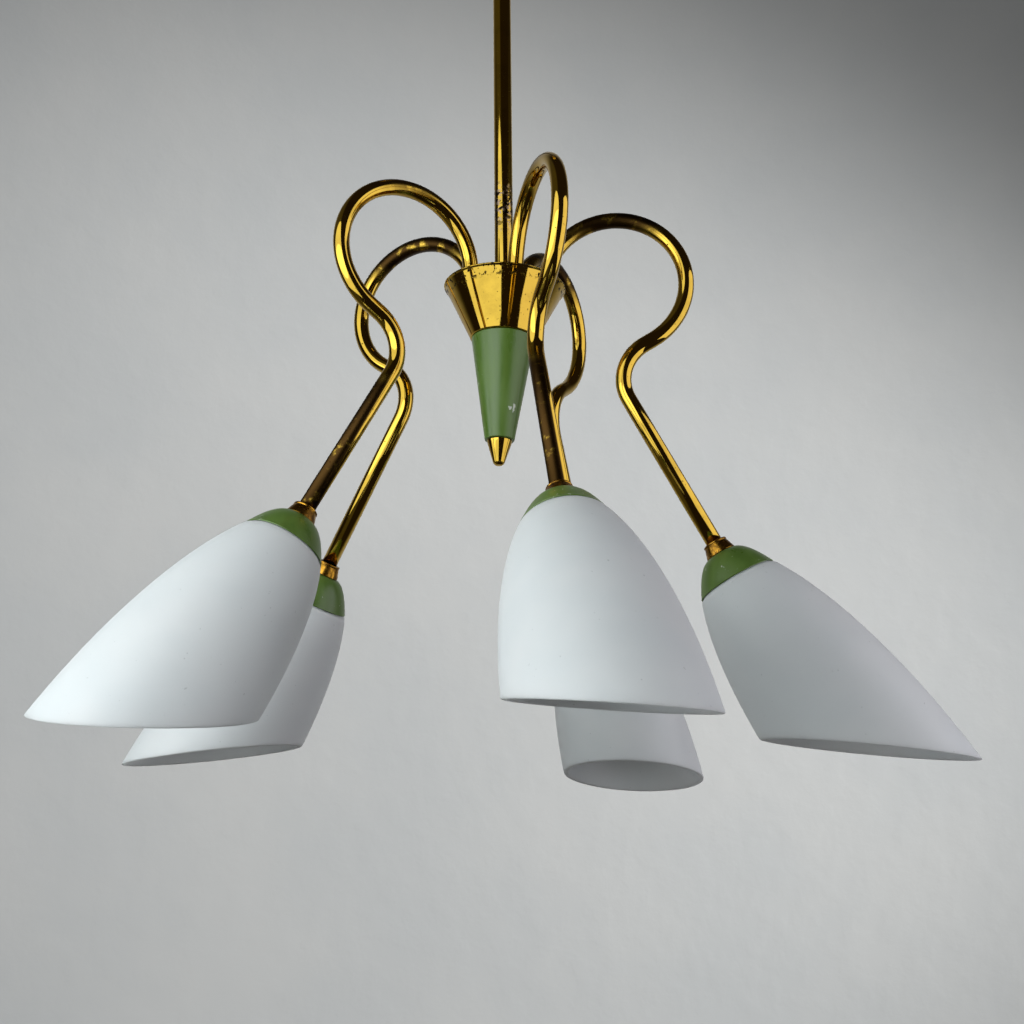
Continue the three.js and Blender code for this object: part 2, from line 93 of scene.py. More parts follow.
def blended(tree, share, *colours):
    """Colour that goes from the first to the second as share goes from 0 to 1."""
    first, second = [linear(colour) if isinstance(colour, str) else colour for colour in colours]
    mix = add_node(tree, "ShaderNodeMix", {0: share, 6: first, 7: second}, data_type="RGBA")
    return mix.outputs[2]


def between(tree, value, low, high, start=0.0, end=1.0):
    """Maps a value from low..high to start..end, smoothly and without leaving them."""
    ramp = add_node(tree, "ShaderNodeMapRange",
                    {"Value": value, "From Min": low, "From Max": high, "To Min": start, "To Max": end},
                    interpolation_type="SMOOTHSTEP")
    return ramp.outputs["Result"]


def speckle(tree, at, size, low, high, detail=3.0, rough=0.55):
    """Noise of a given size in millimetres, as 0 under low and 1 over high."""
    noise = add_node(tree, "ShaderNodeTexNoise",
                     {"Vector": at, "Scale": per(size), "Detail": detail, "Roughness": rough})
    return between(tree, noise.outputs["Fac"], low, high)


def times(tree, first, second):
    return add_node(tree, "ShaderNodeMath", {0: first, 1: second}, operation="MULTIPLY").outputs[0]


def larger(tree, first, second):
    return add_node(tree, "ShaderNodeMath", {0: first, 1: second}, operation="MAXIMUM").outputs[0]


def surface(tree, inputs, bump=None, bump_height=0.0):
    """Ends a finish with its Principled shader, over a bump of so many millimetres."""
    if bump is not None:
        raised = add_node(tree, "ShaderNodeBump",
                          {"Height": bump, "Distance": bump_height / 1000, "Strength": 1.0})
        inputs = {**inputs, "Normal": raised.outputs["Normal"]}
    shader = add_node(tree, "ShaderNodeBsdfPrincipled", inputs)
    end = add_node(tree, "ShaderNodeOutputMaterial")
    tree.links.new(shader.outputs["BSDF"], end.inputs["Surface"])


def zinc_plated_steel():
    """Bright zinc on rolled steel: cool and half dull, with cloudy crystals."""
    material, tree, at = new_finish("zinc_plated_steel")
    cloud = speckle(tree, at, 6, 0.35, 0.65)
    colour = blended(tree, cloud, "#a9acad", "#c3c4c0")
    surface(tree, {"Base Color": colour, "Metallic": 1.0,
                   "Roughness": between(tree, cloud, 0, 1, 0.34, 0.46)}, cloud, 0.01)
    return material


zinc_steel = zinc_plated_steel()


def rounded(corners, steps=4):
    """Outline of (across, up) corners. A third number cuts a corner back that far and rounds it."""
    outline = []
    for i, (x, z, *cut_back) in enumerate(corners):
        here = Vector((x, z))
        if not cut_back:
            outline.append((x, z))
            continue
        start = here + (Vector(corners[i - 1][:2]) - here).normalized() * cut_back[0]
        end = here + (Vector(corners[(i + 1) % len(corners)][:2]) - here).normalized() * cut_back[0]
        for k in range(steps + 1):
            t = k / steps
            point = start * (1 - t) ** 2 + here * 2 * t * (1 - t) + end * t ** 2
            outline.append((point.x, point.y))
    return outline


def skinned(form, rings, closed=True):
    """Lays faces between neighbouring rings of vertices. A ring of one vertex is a pole, and closed
    joins the last ring to the first."""
    for first, second in zip(rings, rings[1:] + (rings[:1] if closed else [])):
        steps = max(len(first), len(second))
        for i in range(steps if steps > 1 else 0):
            j = (i + 1) % steps
            corners = [first[i % len(first)], first[j % len(first)],
                       second[j % len(second)], second[i % len(second)]]
            form.faces.new(list(dict.fromkeys(corners)))
    bmesh.ops.recalc_face_normals(form, faces=form.faces)
    return form


def turned(outline, steps=96):
    """Closed piece turned about +Z. The outline of (radius, height) points closes on itself, or
    starts and ends on the axis."""
    form = bmesh.new()
    rings = []
    for radius, height in outline:
        angles = [2 * math.pi * i / steps for i in range(steps if radius > 0 else 1)]
        rings.append([form.verts.new((radius * math.cos(a), radius * math.sin(a), height))
                      for a in angles])
    return skinned(form, rings, closed=outline[0][0] > 0)


def drill(radius, low, high, steps=32):
    """Cylinder along +Z that cuts a round hole."""
    return turned([(0, low), (radius, low), (radius, high), (0, high)], steps)


def placed(form, where):
    form.transform(where)
    return form


def joined(*forms):
    """Adds separate forms into one."""
    whole = forms[0]
    for form in forms[1:]:
        part = bpy.data.meshes.new("part")
        form.to_mesh(part)
        form.free()
        whole.from_mesh(part)
        bpy.data.meshes.remove(part)
    return whole


def as_object(name, form):
    mesh = bpy.data.meshes.new(name)
    form.to_mesh(mesh)
    form.free()
    made = bpy.data.objects.new(name, mesh)
    bpy.context.scene.collection.objects.link(made)
    return made


def cut_by(form, tools):
    """The form with the tools' shapes cut out of it."""
    body, tool = as_object("body", form), as_object("tool", tools)
    cut = body.modifiers.new("cut", "BOOLEAN")
    cut.operation, cut.solver, cut.object = "DIFFERENCE", "EXACT", tool
    made = bpy.data.meshes.new_from_object(body.evaluated_get(bpy.context.evaluated_depsgraph_get()))
    result = bmesh.new()
    result.from_mesh(made)
    bpy.data.meshes.remove(made)
    for used in (body, tool):
        bpy.data.meshes.remove(used.data)
    return result


def finished(name, form, where, body, slot, finish, *nodes, sharp=35):
    """Makes the piece: scaled from millimetres, placed in its mesh and riding on its body."""
    form.transform(Matrix.Scale(0.001, 4) @ where)
    made = as_object(name, form)
    made.data.polygons.foreach_set("use_smooth", [True] * len(made.data.polygons))
    made.data.set_sharp_from_angle(angle=math.radians(sharp))
    made.data.materials.append(finish)
    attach(made, body)
    if nodes:
        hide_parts(*nodes)
    return made


def drawn(outline, width):
    """Plate of an (across, up) outline, width wide along Y and centred on it."""
    form = bmesh.new()
    front = [form.verts.new((x, -width / 2, z)) for x, z in outline]
    made = bmesh.ops.extrude_face_region(form, geom=[form.faces.new(front)])
    back = [v for v in made["geom"] if isinstance(v, bmesh.types.BMVert)]
    bmesh.ops.translate(form, verts=back, vec=(0, width, 0))
    bmesh.ops.recalc_face_normals(form, faces=form.faces)
    return form


def eased(form, radius, angle=50, steps=2):
    """Breaks the sharp edges of a form."""
    edges = [e for e in form.edges if e.is_manifold and e.calc_face_angle() > math.radians(angle)]
    bmesh.ops.bevel(form, geom=edges, offset=radius, segments=steps, profile=0.5, affect="EDGES",
                    clamp_overlap=True)
    return form


def ceiling_bracket():
    inner = stirrup_half_width - strap
    outer_bend, inner_bend = stirrup_bend + strap / 2, stirrup_bend
    strap_form = drawn([(-strap_half_length, -strap), (strap_half_length, -strap),
                        (strap_half_length, 0), (-strap_half_length, 0)], strap_width)
    stirrup = drawn(rounded([
        (-stirrup_half_width, -strap), (-stirrup_half_width, -stirrup_depth, outer_bend),
        (stirrup_half_width, -stirrup_depth, outer_bend), (stirrup_half_width, -strap),
        (inner, -strap), (inner, strap - stirrup_depth, inner_bend),
        (-inner, strap - stirrup_depth, inner_bend), (-inner, -strap)]), strap_width)
    screw_holes = [placed(drill(screw_hole, -2 * strap, strap), Matrix.Translation((x, 0, 0)))
                   for x in (-screw_hole_at, screw_hole_at)]
    strap_form = eased(cut_by(strap_form, joined(*screw_holes)), 0.3)
    stirrup = cut_by(stirrup, drill(nipple_hole, -2 * stirrup_depth, -stirrup_depth / 2, 48))
    return joined(strap_form, eased(stirrup, 0.3))


finished("ceiling_bracket_form", ceiling_bracket(), Matrix(), "fixture", "zinc_steel", zinc_steel,
         "ceiling_bracket")

# ---- top nipple and its nut ----------------------------------------------------------
# A hollow threaded steel tube, screwed into the stem's top. The hexagon nut on it rests in the
# stirrup and carries the whole light.
nipple_radius = 4.7
nipple_bore = 3.6
nipple_low = -49.3
nipple_high = -19
thread_pitch = 1
nut_land = 2.2                        # a nut's flats lie this far outside its thread
slide_gap = 0.35                      # clearance of a bore over a tube or a thread
top_nut_low = -26.2
top_nut_height = 5


def thread(radius, low, high, pitch=thread_pitch):
    """Outline of a screw thread: crests and roots by turns, from low to high."""
    turns = int((high - low) / pitch)
    depth = 0.35 * pitch
    return [(radius - depth * (i % 2), low + i * pitch / 2) for i in range(2 * turns + 1)]


def threaded_tube(radius, bore, low, high):
    return turned([(bore, low), *thread(radius, low, high), (bore, high)], 48)


def hexagon_nut(thread_radius, low, height):
    """Nut with its corners turned off at both ends, drawn as rings of a limited hexagon."""
    flat = thread_radius + nut_land
    corner = flat / math.cos(math.pi / 6)
    bore = thread_radius + slide_gap
    chamfer = 0.35 * (corner - flat)
    levels = [(0, -1), (chamfer, 0), (height - chamfer, 0), (height, -1)]
    steps = 72

    def ring(form, up, radius_at):
        angles = [2 * math.pi * (i + 0.5) / steps for i in range(steps)]
        return [form.verts.new((radius_at(a) * math.cos(a), radius_at(a) * math.sin(a), low + up))
                for a in angles]

    def hexagon(angle):
        return flat / math.cos((angle % (math.pi / 3)) - math.pi / 6)

    form = bmesh.new()
    limit = corner - 0.6 * (corner - flat)
    rings = [ring(form, up, (lambda a: min(hexagon(a), limit)) if end else hexagon)
             for up, end in levels]
    rings += [ring(form, height, lambda a: bore), ring(form, 0, lambda a: bore)]
    return skinned(form, rings)


finished("top_nipple_form", threaded_tube(nipple_radius, nipple_bore, nipple_low, nipple_high),
         Matrix(), "fixture", "zinc_steel", zinc_steel, "top_nipple")
finished("top_nut_form", hexagon_nut(nipple_radius, top_nut_low, top_nut_height), Matrix(),
         "fixture", "zinc_steel", zinc_steel, "top_nut", sharp=25)

# ---- ceiling terminal ----------------------------------------------------------------
# A two-pole block of moulded white plastic beside the stirrup, with a well for a screw in each of its
# two towers. The house's wires meet the light's mains cable in it.
terminal_length = 26
terminal_side = 14
terminal_y = 18.3
terminal_top = -24
tower_radius = 4.6
tower_height = 4
well_radius = 2.6
well_depth = 3


def clouded(name, size, low, high, colours, relief=0.0, **inputs):
    """Plain finish in two close colours, with clouds of a size and a relief in millimetres."""
    material, tree, at = new_finish(name)
    cloud = speckle(tree, at, size, low, high)
    inputs = {"Base Color": blended(tree, cloud, *colours), **inputs}
    surface(tree, inputs, cloud if relief else None, relief)
    return material


# White urea plastic, a little yellowed, semi-matt, with faint flow marks.
white_plastic = clouded("moulded_white_plastic", 4, 0.3, 0.7, ("#e3ddca", "#ece7d8"), 0.01,
                        Roughness=0.48, IOR=1.5)


def ceiling_terminal():
    low, high = terminal_top - terminal_side, terminal_top - tower_height
    half = terminal_length / 2
    block = drawn(rounded([(-half, low, 1), (half, low, 1), (half, high, 1), (-half, high, 1)]),
                  terminal_side)
    block = eased(block, 0.6)
    well = terminal_top - well_depth
    tower = rounded([(0, high - 1), (tower_radius, high - 1), (tower_radius, terminal_top, 0.6),
                     (well_radius, terminal_top, 0.3), (well_radius, well), (0, well)])
    towers = [placed(turned(tower, 32), Matrix.Translation((x, 0, 0))) for x in (-half / 2, half / 2)]
    return joined(block, *towers)


finished("ceiling_terminal_form", ceiling_terminal(), Matrix.Translation((0, terminal_y, 0)),
         "fixture", "white_plastic", white_plastic, "ceiling_terminal")

# ---- canopy, collar and clamping screw -----------------------------------------------
# A bell spun from brass sheet, polished and lacquered, that covers the bracket. It slides on the
# stem with its turned collar, and a thumb screw through the collar's side holds it up.
canopy_radius = 58
canopy_depth = 56
canopy_top = -1
canopy_flare = 1.4                    # 1 is an elliptical bell, more is a more conical one
sheet = 1                             # thickness of the brass sheet
stem_radius = 6
slide_bore = stem_radius + slide_gap
collar_radius = 10
collar_height = 11
screw_radius = 1.5
screw_tip = 6.3                       # its end, from the stem's axis
screw_head_radius = 4
screw_head_length = 5
screw_ridges = 24


def between_mm(tree, value, low, high, start=0.0, end=1.0):
    """The same as between, for a length and limits in millimetres."""
    return between(tree, value, low / 1000, high / 1000, start, end)


def lacquered_brass(name, brown_over=None, patina_and_painted_shade_under=None, worn_under=None, pitted_over=None):
    """Polished brass under old clear lacquer: mirror-like and deep yellow, with brown clouds where
    air has crept in, and small dark pits. The brown runs together over the height brown_over. Under
    a second height a speckled brown is painted on the sides that face left only: painted shade that
    dulls the bright reflection of the light from that side, over patina. In a short band under
    worn_under the lacquer is rubbed to a dull pink and black, and over pitted_over it has black
    flecks. Heights are in millimetres."""
    material, tree, at = new_finish(name)
    height = add_node(tree, "ShaderNodeSeparateXYZ", {"Vector": at}).outputs["Z"]
    cloud = speckle(tree, at, 22, 0.44, 0.66, detail=5, rough=0.6)
    brown = times(tree, cloud, 0.2)
    if brown_over is not None:
        run = between_mm(tree, height, brown_over, brown_over + 16)
        brown = larger(tree, brown, times(tree, run, speckle(tree, at, 9, 0.24, 0.46, detail=5)))
    if patina_and_painted_shade_under is not None:
        # Painted shade: the normal's X keeps this brown to the sides that face left, in place of the bright
        # reflection there.
        normal = add_node(tree, "ShaderNodeSeparateXYZ", {"Vector": at.node.outputs["Normal"]})
        run = times(tree, between_mm(tree, height, patina_and_painted_shade_under - 15, patina_and_painted_shade_under, 1, 0),
                    between(tree, normal.outputs["X"], 0.45, 0.6, 1, 0))
        stain_and_painted_shade = speckle(tree, at, 7, 0.12, 0.42, detail=5, rough=0.6)
        brown = larger(tree, brown, times(tree, run, stain_and_painted_shade))
    pits = speckle(tree, at, 1.8, 0.66, 0.71, detail=3)
    colour = blended(tree, brown, "#caa540", "#3b2912")
    colour = blended(tree, times(tree, pits, 0.85), colour, "#241609")
    rough = between(tree, larger(tree, brown, pits), 0, 1, 0.05, 0.36)
    if worn_under is not None:
        band = times(tree, between_mm(tree, height, worn_under - 14, worn_under, 1, 0),
                     between_mm(tree, height, worn_under - 46, worn_under - 26))
        rubbed = times(tree, band, speckle(tree, at, 2.6, 0.48, 0.56, detail=5, rough=0.65))
        colour = blended(tree, rubbed, colour, "#a38c78")
        black = times(tree, band, speckle(tree, at, 3.1, 0.53, 0.57, detail=5, rough=0.6))
        colour = blended(tree, black, colour, "#1b120c")
        rough = larger(tree, rough, times(tree, larger(tree, rubbed, black), 0.3))
    if pitted_over is not None:
        near_rim = between_mm(tree, height, pitted_over - 3, pitted_over)
        flecks = times(tree, near_rim, speckle(tree, at, 2.6, 0.55, 0.59, detail=4))
        colour = blended(tree, flecks, colour, "#1b120c")
        rough = larger(tree, rough, times(tree, flecks, 0.5))
    waviness = speckle(tree, at, 9, 0.2, 0.8, detail=1)
    surface(tree, {"Base Color": colour, "Metallic": 1.0, "Roughness": rough}, waviness, 0.008)
    return material


plain_brass = lacquered_brass("lacquered_brass")


def bell(rim_radius, depth, steps=40):
    """Curve of the canopy from its rim down to its floor."""
    outline = []
    for i in range(steps):
        angle = (i / steps) * math.pi / 2
        radius = collar_radius + (rim_radius - collar_radius) * math.cos(angle) ** canopy_flare
        outline.append((radius, canopy_top - depth * math.sin(angle)))
    return [*outline, (collar_radius, canopy_top - depth)]


def canopy():
    foot = canopy_top - canopy_depth
    inside = bell(canopy_radius - sheet, canopy_depth - sheet)[::-1]
    outside = bell(canopy_radius, canopy_depth)
    rim = [(canopy_radius - 0.75 * sheet, canopy_top), (canopy_radius - 0.25 * sheet, canopy_top)]
    return turned([*outside[1:], (slide_bore, foot), (slide_bore, foot + sheet), *inside[:-1], *rim])


def canopy_collar():
    top = canopy_top - canopy_depth - touch_gap
    foot = top - collar_height
    body = turned(rounded([(slide_bore, foot, 0.4), (collar_radius - 0.6, foot, 0.8),
                           (collar_radius - 0.6, foot + 1.4, 0.3), (collar_radius, foot + 2.2, 0.5),
                           (collar_radius, top, 0.6), (slide_bore, top, 0.2)]))
    hole = drill(screw_radius + touch_gap, 0, 2 * collar_radius)
    middle = Matrix.Translation((0, 0, top - collar_height / 2)) @ Matrix.Rotation(math.pi / 2, 4, "Y")
    return cut_by(body, placed(hole, middle))


def clamp_screw():
    """Thumb screw with a knurled head, along +Z."""
    head = collar_radius + touch_gap
    end = head + screw_head_length
    form = turned(rounded([
        (0, screw_tip), (screw_radius - 0.3, screw_tip), *thread(screw_radius, screw_tip + 0.5, head, 0.7),
        (screw_head_radius - 0.2, head, 0.4), (screw_head_radius, head + 0.8),
        (screw_head_radius, end - 0.8), (screw_head_radius - 0.2, end, 0.5), (0, end)]), 2 * screw_ridges)
    for vertex in form.verts:
        outward = Vector((vertex.co.x, vertex.co.y, 0))
        if outward.length > screw_head_radius - 0.1:
            ridge = round(math.atan2(outward.y, outward.x) * screw_ridges / math.pi) % 2
            vertex.co -= outward.normalized() * 0.3 * ridge
    return form


screw_height = canopy_top - canopy_depth - touch_gap - collar_height / 2
across = Matrix.Translation((0, 0, screw_height)) @ Matrix.Rotation(math.pi / 2, 4, "Y")
finished("canopy_bell", canopy(), Matrix(), "canopy", "polished_brass", plain_brass, "canopy")
finished("canopy_collar_form", canopy_collar(), Matrix(), "canopy", "polished_brass", plain_brass,
         "canopy_collar")
finished("canopy_thumb_screw", clamp_screw(), across, "canopy_screw", "polished_brass", plain_brass,
         "canopy_screw", sharp=25)

# ---- stem ----------------------------------------------------------------------------
# Drawn brass tube, 12 mm across, from the nipple in the bracket down through the hub in the cup. The
# lacquer has worn off where hands have held it, just over the cup.
cup_rim = -430
arm_foot = -12.5                      # the stem and the arms end this far under the cup's rim
stem_wall = 1
stem_top = -29.3
stem_foot = cup_rim + arm_foot

stem_brass = lacquered_brass("lacquered_stem_brass", worn_under=cup_rim + 78)
stem = turned(rounded([(stem_radius - stem_wall, stem_foot, 0.2), (stem_radius, stem_foot, 0.3),
                       (stem_radius, stem_top, 0.3), (stem_radius - stem_wall, stem_top, 0.2)]), 64)
finished("stem", stem, Matrix(), "fixture", "polished_brass", stem_brass, "stem_tube")

# ---- cup -----------------------------------------------------------------------------
# Conical cup spun from brass sheet with a rolled lip. The tie tube pulls it up against the hub, and
# all that hangs on the stem leans a little in its play. From here on, heights count from its rim.
body_lean = 2.2
hub_top = -5
hub_foot = -11
hub_middle = Vector((0, 0, (hub_top + hub_foot) / 2))
hanging = (Matrix.Translation(Vector((0, 0, cup_rim)) + hub_middle)
           @ Matrix.Rotation(math.radians(body_lean), 4, "Y") @ Matrix.Translation(-hub_middle))
cup_rim_radius = 38.6
cup_foot_radius = 20.7
cup_height = 35.6
tie_bore = 4.8

cup_brass = lacquered_brass("lacquered_cup_brass", pitted_over=cup_rim - 5)


def cup_radius(height):
    """Radius of the cup's outside at a height under its rim."""
    return cup_rim_radius + (cup_rim_radius - cup_foot_radius) * height / cup_height


def cup():
    floor = sheet - cup_height
    return turned(rounded([
        (cup_rim_radius - 0.2, 0, 0.2), (cup_rim_radius + 0.5, -0.75, 0.5),
        (cup_radius(-1.6), -1.6, 0.3), (cup_foot_radius, -cup_height, 0.7), (tie_bore, -cup_height),
        (tie_bore, floor), (cup_radius(floor) - sheet, floor, 0.6), (cup_rim_radius - sheet, 0, 0.3)]), 128)


finished("cup_form", cup(), hanging, "fixture", "polished_brass", cup_brass, "cup")

# ---- hub -----------------------------------------------------------------------------
# A brass plate that fits in the cup. The stem passes its middle, the arms stand in its five holes
# with a nut on top, and the cables pass under it.
hub_space = 1.6                       # between the hub's edge and the cup's outside
arm_radius = 5
arm_space = 0.5                       # between an arm's foot and the cup's wall
arm_circle = cup_radius(arm_foot) - sheet - arm_space - arm_radius
arm_sleeve = arm_radius + slide_gap
arm_azimuths = {"front": -76, "right": -4, "back": 68, "left_rear": 140, "left_front": 212}


def hub():
    top, foot = cup_radius(hub_top) - hub_space, cup_radius(hub_foot) - hub_space
    plate = turned(rounded([(slide_bore, hub_foot), (foot, hub_foot, 0.4), (top, hub_top, 0.4),
                            (slide_bore, hub_top, 0.3)]))
    holes = []
    for azimuth in arm_azimuths.values():
        turn = Matrix.Rotation(math.radians(azimuth), 4, "Z")
        hole = drill(arm_sleeve, 2 * hub_foot, 0, 40)
        holes.append(placed(hole, turn @ Matrix.Translation((arm_circle, 0, 0))))
    return cut_by(plate, joined(*holes))


finished("hub_plate", hub(), hanging, "fixture", "polished_brass", plain_brass, "hub")

# ---- tie tube and junction disc ------------------------------------------------------
# Inside the cup: the zinc-plated tube that pulls cup and cone up, and the black disc on which the
# mains cable meets the five leads. Both keep their CAD shape.

# Black phenolic moulding: deep brown-black with a soft gloss and a faint mottle.
black_bakelite = clouded("moulded_bakelite", 2.5, 0.4, 0.7, ("#171210", "#261c17"), 0.01,
                         Roughness=0.32, IOR=1.58)
for node_name, finish in (("tie_tube", zinc_steel), ("junction_disc", black_bakelite)):
    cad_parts[node_name].data.materials.clear()
    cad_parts[node_name].data.materials.append(finish)

# ---- cone and finial -----------------------------------------------------------------
# The cone is spun from brass sheet and sprayed with green lacquer. The finial, a turned brass button,
# screws on the tie tube under it and holds cone and cup together.
cone_top = -35.9
cone_foot = -103.3
cone_top_radius = 20
cone_foot_radius = 9.25
cone_wall = 1.5
finial_top = cone_foot - touch_gap
finial_height = 16
finial_radius = 7.9
finial_thread = 3.8                   # depth of its hole
finial_tip_radius = 3.2


def green_lacquer(name, dark, light, chip_size, chipped, knock=None):
    """Sage green stove lacquer, satin, with faint streaks and small chips that show the white
    primer: the fewer, the higher chipped. A knock, at a place in metres, has broken off more."""
    material, tree, at = new_finish(name)
    stretch = add_node(tree, "ShaderNodeMapping", {"Vector": at, "Scale": (1, 1, 0.2)}).outputs[0]
    cloud = speckle(tree, stretch, 10, 0.3, 0.7)
    colour = blended(tree, cloud, dark, light)
    chips = speckle(tree, at, chip_size, chipped, chipped + 0.015, detail=4, rough=0.65)
    if knock is not None:
        away = add_node(tree, "ShaderNodeVectorMath", {0: at, 1: knock}, operation="DISTANCE")
        broken = times(tree, between_mm(tree, away.outputs["Value"], 2, 6.5, 1, 0),
                       speckle(tree, at, 2.4, 0.34, 0.66, detail=4))
        chips = larger(tree, chips, between(tree, broken, 0.42, 0.5))
    colour = blended(tree, chips, colour, "#ccd2c2")
    grain = speckle(tree, at, 0.8, 0.3, 0.7, detail=1)
    surface(tree, {"Base Color": colour, "Roughness": between(tree, cloud, 0, 1, 0.27, 0.4),
                   "IOR": 1.5}, grain, 0.006)
    return material


cone_lacquer = green_lacquer("green_cone_lacquer", "#53702b", "#627e3a", 5, 0.7,
                             knock=(0.006, -0.0115, -0.515))


def green_cone():
    ceiling, floor = cone_top - cone_wall, cone_foot + cone_wall
    return turned(rounded([
        (tie_bore, cone_top), (cone_top_radius, cone_top, 0.5), (cone_foot_radius, cone_foot, 0.5),
        (tie_bore, cone_foot), (tie_bore, floor), (cone_foot_radius - cone_wall, floor),
        (cone_top_radius - cone_wall, ceiling), (tie_bore, ceiling)]), 128)


def finial():
    foot, hole_end = finial_top - finial_height, finial_top - finial_thread
    return turned(rounded([
        (tie_bore, finial_top), (finial_radius, finial_top, 0.4),
        (finial_radius - 0.35, finial_top - 1.6, 0.3), (finial_tip_radius + 0.3, foot + 1.4, 0.8),
        (finial_tip_radius - 1.2, foot, 0.5), (0, foot), (0, hole_end), (tie_bore, hole_end)]))


finished("green_cone_form", green_cone(), hanging, "fixture", "green_lacquer", cone_lacquer, "green_cone")
finished("finial_form", finial(), hanging, "finial", "polished_brass", plain_brass, "finial")

# ---- arms ----------------------------------------------------------------------------
# Five lengths of 10 mm brass tube, each bent by hand round formers into a loop and a return bend. The
# foot stands in the hub, and the other end runs through ferrule and cap into the lampholder.
arm_wall = 1.1
arm_nut_height = 3.5
loop_start = 2.2
loop_radius = 45
loop_sweep = 239
link_length = 6
return_radius = 27.5
return_sweep = 87.5
drop_length = 105.5
tenon_length = 17                     # the arm's end that runs on into the lampholder
arm_turns = {"front": 1, "right": -2, "back": -8, "left_rear": 9.5, "left_front": -1}
arm_bends = {"front": 1, "right": -1, "back": -1, "left_rear": 0, "left_front": 1}

arm_brass = lacquered_brass("lacquered_arm_brass", brown_over=cup_rim + 24)
# Brass with brown patina on the loops and, low down, painted shade on the sides that face left.
patina_and_painted_shade_arm_brass = lacquered_brass("lacquered_arm_brass_with_painted_shade", brown_over=cup_rim + 38,
                                  patina_and_painted_shade_under=cup_rim - 70)


def walk(x, z, heading, moves, step=3):
    """Points of a route in the XZ plane. A move is a straight (length,) or a bend (radius, sweep) in
    degrees, where a positive sweep turns from +Z towards +X."""
    angle = math.radians(heading)
    point = Vector((x, 0, z))
    route = [point.copy()]
    for move in moves:
        if len(move) == 1:
            point += Vector((math.sin(angle), 0, math.cos(angle))) * move[0]
            route.append(point.copy())
            continue
        radius, sweep = move
        count = math.ceil(abs(sweep) / step)
        turn = math.radians(sweep) / count
        chord = 2 * radius * math.sin(abs(turn) / 2)
        for _ in range(count):
            angle += turn / 2
            point += Vector((math.sin(angle), 0, math.cos(angle))) * chord
            angle += turn / 2
            route.append(point.copy())
    return route


def arm_moves(bend, tail=0):
    return [(loop_start - arm_foot,), (loop_radius, loop_sweep + bend), (link_length,),
            (return_radius, -return_sweep), (drop_length + tail,)]


def bent_tube_tree():
    """Geometry Nodes that sweep a round section along a route."""
    tree = bpy.data.node_groups.new("bent_tube", "GeometryNodeTree")
    sockets = tree.interface
    sockets.new_socket("Route", in_out="INPUT", socket_type="NodeSocketGeometry")
    sockets.new_socket("Radius", in_out="INPUT", socket_type="NodeSocketFloat")
    sockets.new_socket("Sides", in_out="INPUT", socket_type="NodeSocketInt")
    sockets.new_socket("Closed Ends", in_out="INPUT", socket_type="NodeSocketBool")
    sockets.new_socket("Material", in_out="INPUT", socket_type="NodeSocketMaterial")
    sockets.new_socket("Tube", in_out="OUTPUT", socket_type="NodeSocketGeometry")
    given = add_node(tree, "NodeGroupInput").outputs
    section = add_node(tree, "GeometryNodeCurvePrimitiveCircle",
                       {"Resolution": given["Sides"], "Radius": given["Radius"]})
    sweep = add_node(tree, "GeometryNodeCurveToMesh",
                     {"Curve": given["Route"], "Profile Curve": section.outputs["Curve"],
                      "Fill Caps": given["Closed Ends"]})
    whole = add_node(tree, "GeometryNodeRealizeInstances", {"Geometry": sweep.outputs["Mesh"]})
    covered = add_node(tree, "GeometryNodeSetMaterial",
                       {"Geometry": whole.outputs["Geometry"], "Material": given["Material"]})
    add_node(tree, "NodeGroupOutput", {"Tube": covered.outputs["Geometry"]})
    return tree


bent_tube = bent_tube_tree()


def swept(route, radius, sides, finish, closed):
    """Tube along a route of points in millimetres, as a form in millimetres."""
    line = bpy.data.curves.new("route", "CURVE")
    line.dimensions = "3D"
    spline = line.splines.new("POLY")
    spline.points.add(len(route) - 1)
    for place, point in zip(spline.points, route):
        place.co = (*point, 1)
    holder = bpy.data.objects.new("route", line)
    bpy.context.scene.collection.objects.link(holder)
    modifier = holder.modifiers.new("bent_tube", "NODES")
    modifier.node_group = bent_tube
    names = {item.name: item.identifier for item in bent_tube.interface.items_tree}
    given = {"Radius": float(radius), "Sides": sides, "Closed Ends": closed, "Material": finish}
    for name, value in given.items():
        modifier[names[name]] = value
    made = bpy.data.meshes.new_from_object(holder.evaluated_get(bpy.context.evaluated_depsgraph_get()))
    form = bmesh.new()
    form.from_mesh(made)
    bmesh.ops.recalc_face_normals(form, faces=form.faces)
    bpy.data.meshes.remove(made)
    bpy.data.curves.remove(line)
    return form


def arm_places(name):
    """Where an arm's foot, its bent tube and its lower end stand. +Z runs down the arm's end."""
    bend = arm_bends[name]
    foot = (hanging @ Matrix.Rotation(math.radians(arm_azimuths[name]), 4, "Z")
            @ Matrix.Translation((arm_circle, 0, 0)))
    bent = foot @ Matrix.Rotation(math.radians(arm_turns[name]), 4, "Z")
    heading = math.radians(loop_sweep + bend - return_sweep)
    end = (bent @ Matrix.Translation(walk(0, arm_foot, 0, arm_moves(bend))[-1])
           @ Matrix.Rotation(heading, 4, "Y") @ Matrix.Rotation(math.pi, 4, "Z"))
    return foot, bent, end


for name, bend in arm_bends.items():
    # The front and left front arms get the brass with painted shade on their left-facing lower sides.
    brass = patina_and_painted_shade_arm_brass if name in ("front", "left_front") else arm_brass
    tube = swept(walk(0, arm_foot, 0, arm_moves(bend, tenon_length)), arm_radius, 40, brass, False)
    made = finished(f"arm_{name}", tube, arm_places(name)[1], "fixture", "polished_brass", brass,
                    f"arm_tube_{name}")
    wall = made.modifiers.new("wall", "SOLIDIFY")
    wall.thickness, wall.offset, wall.use_rim = arm_wall / 1000, -1, True
    nut = hexagon_nut(arm_radius, hub_top + touch_gap, arm_nut_height)
    finished(f"arm_nut_{name}_form", nut, arm_places(name)[1], "fixture", "polished_brass", plain_brass,
             f"arm_nut_{name}", sharp=25)

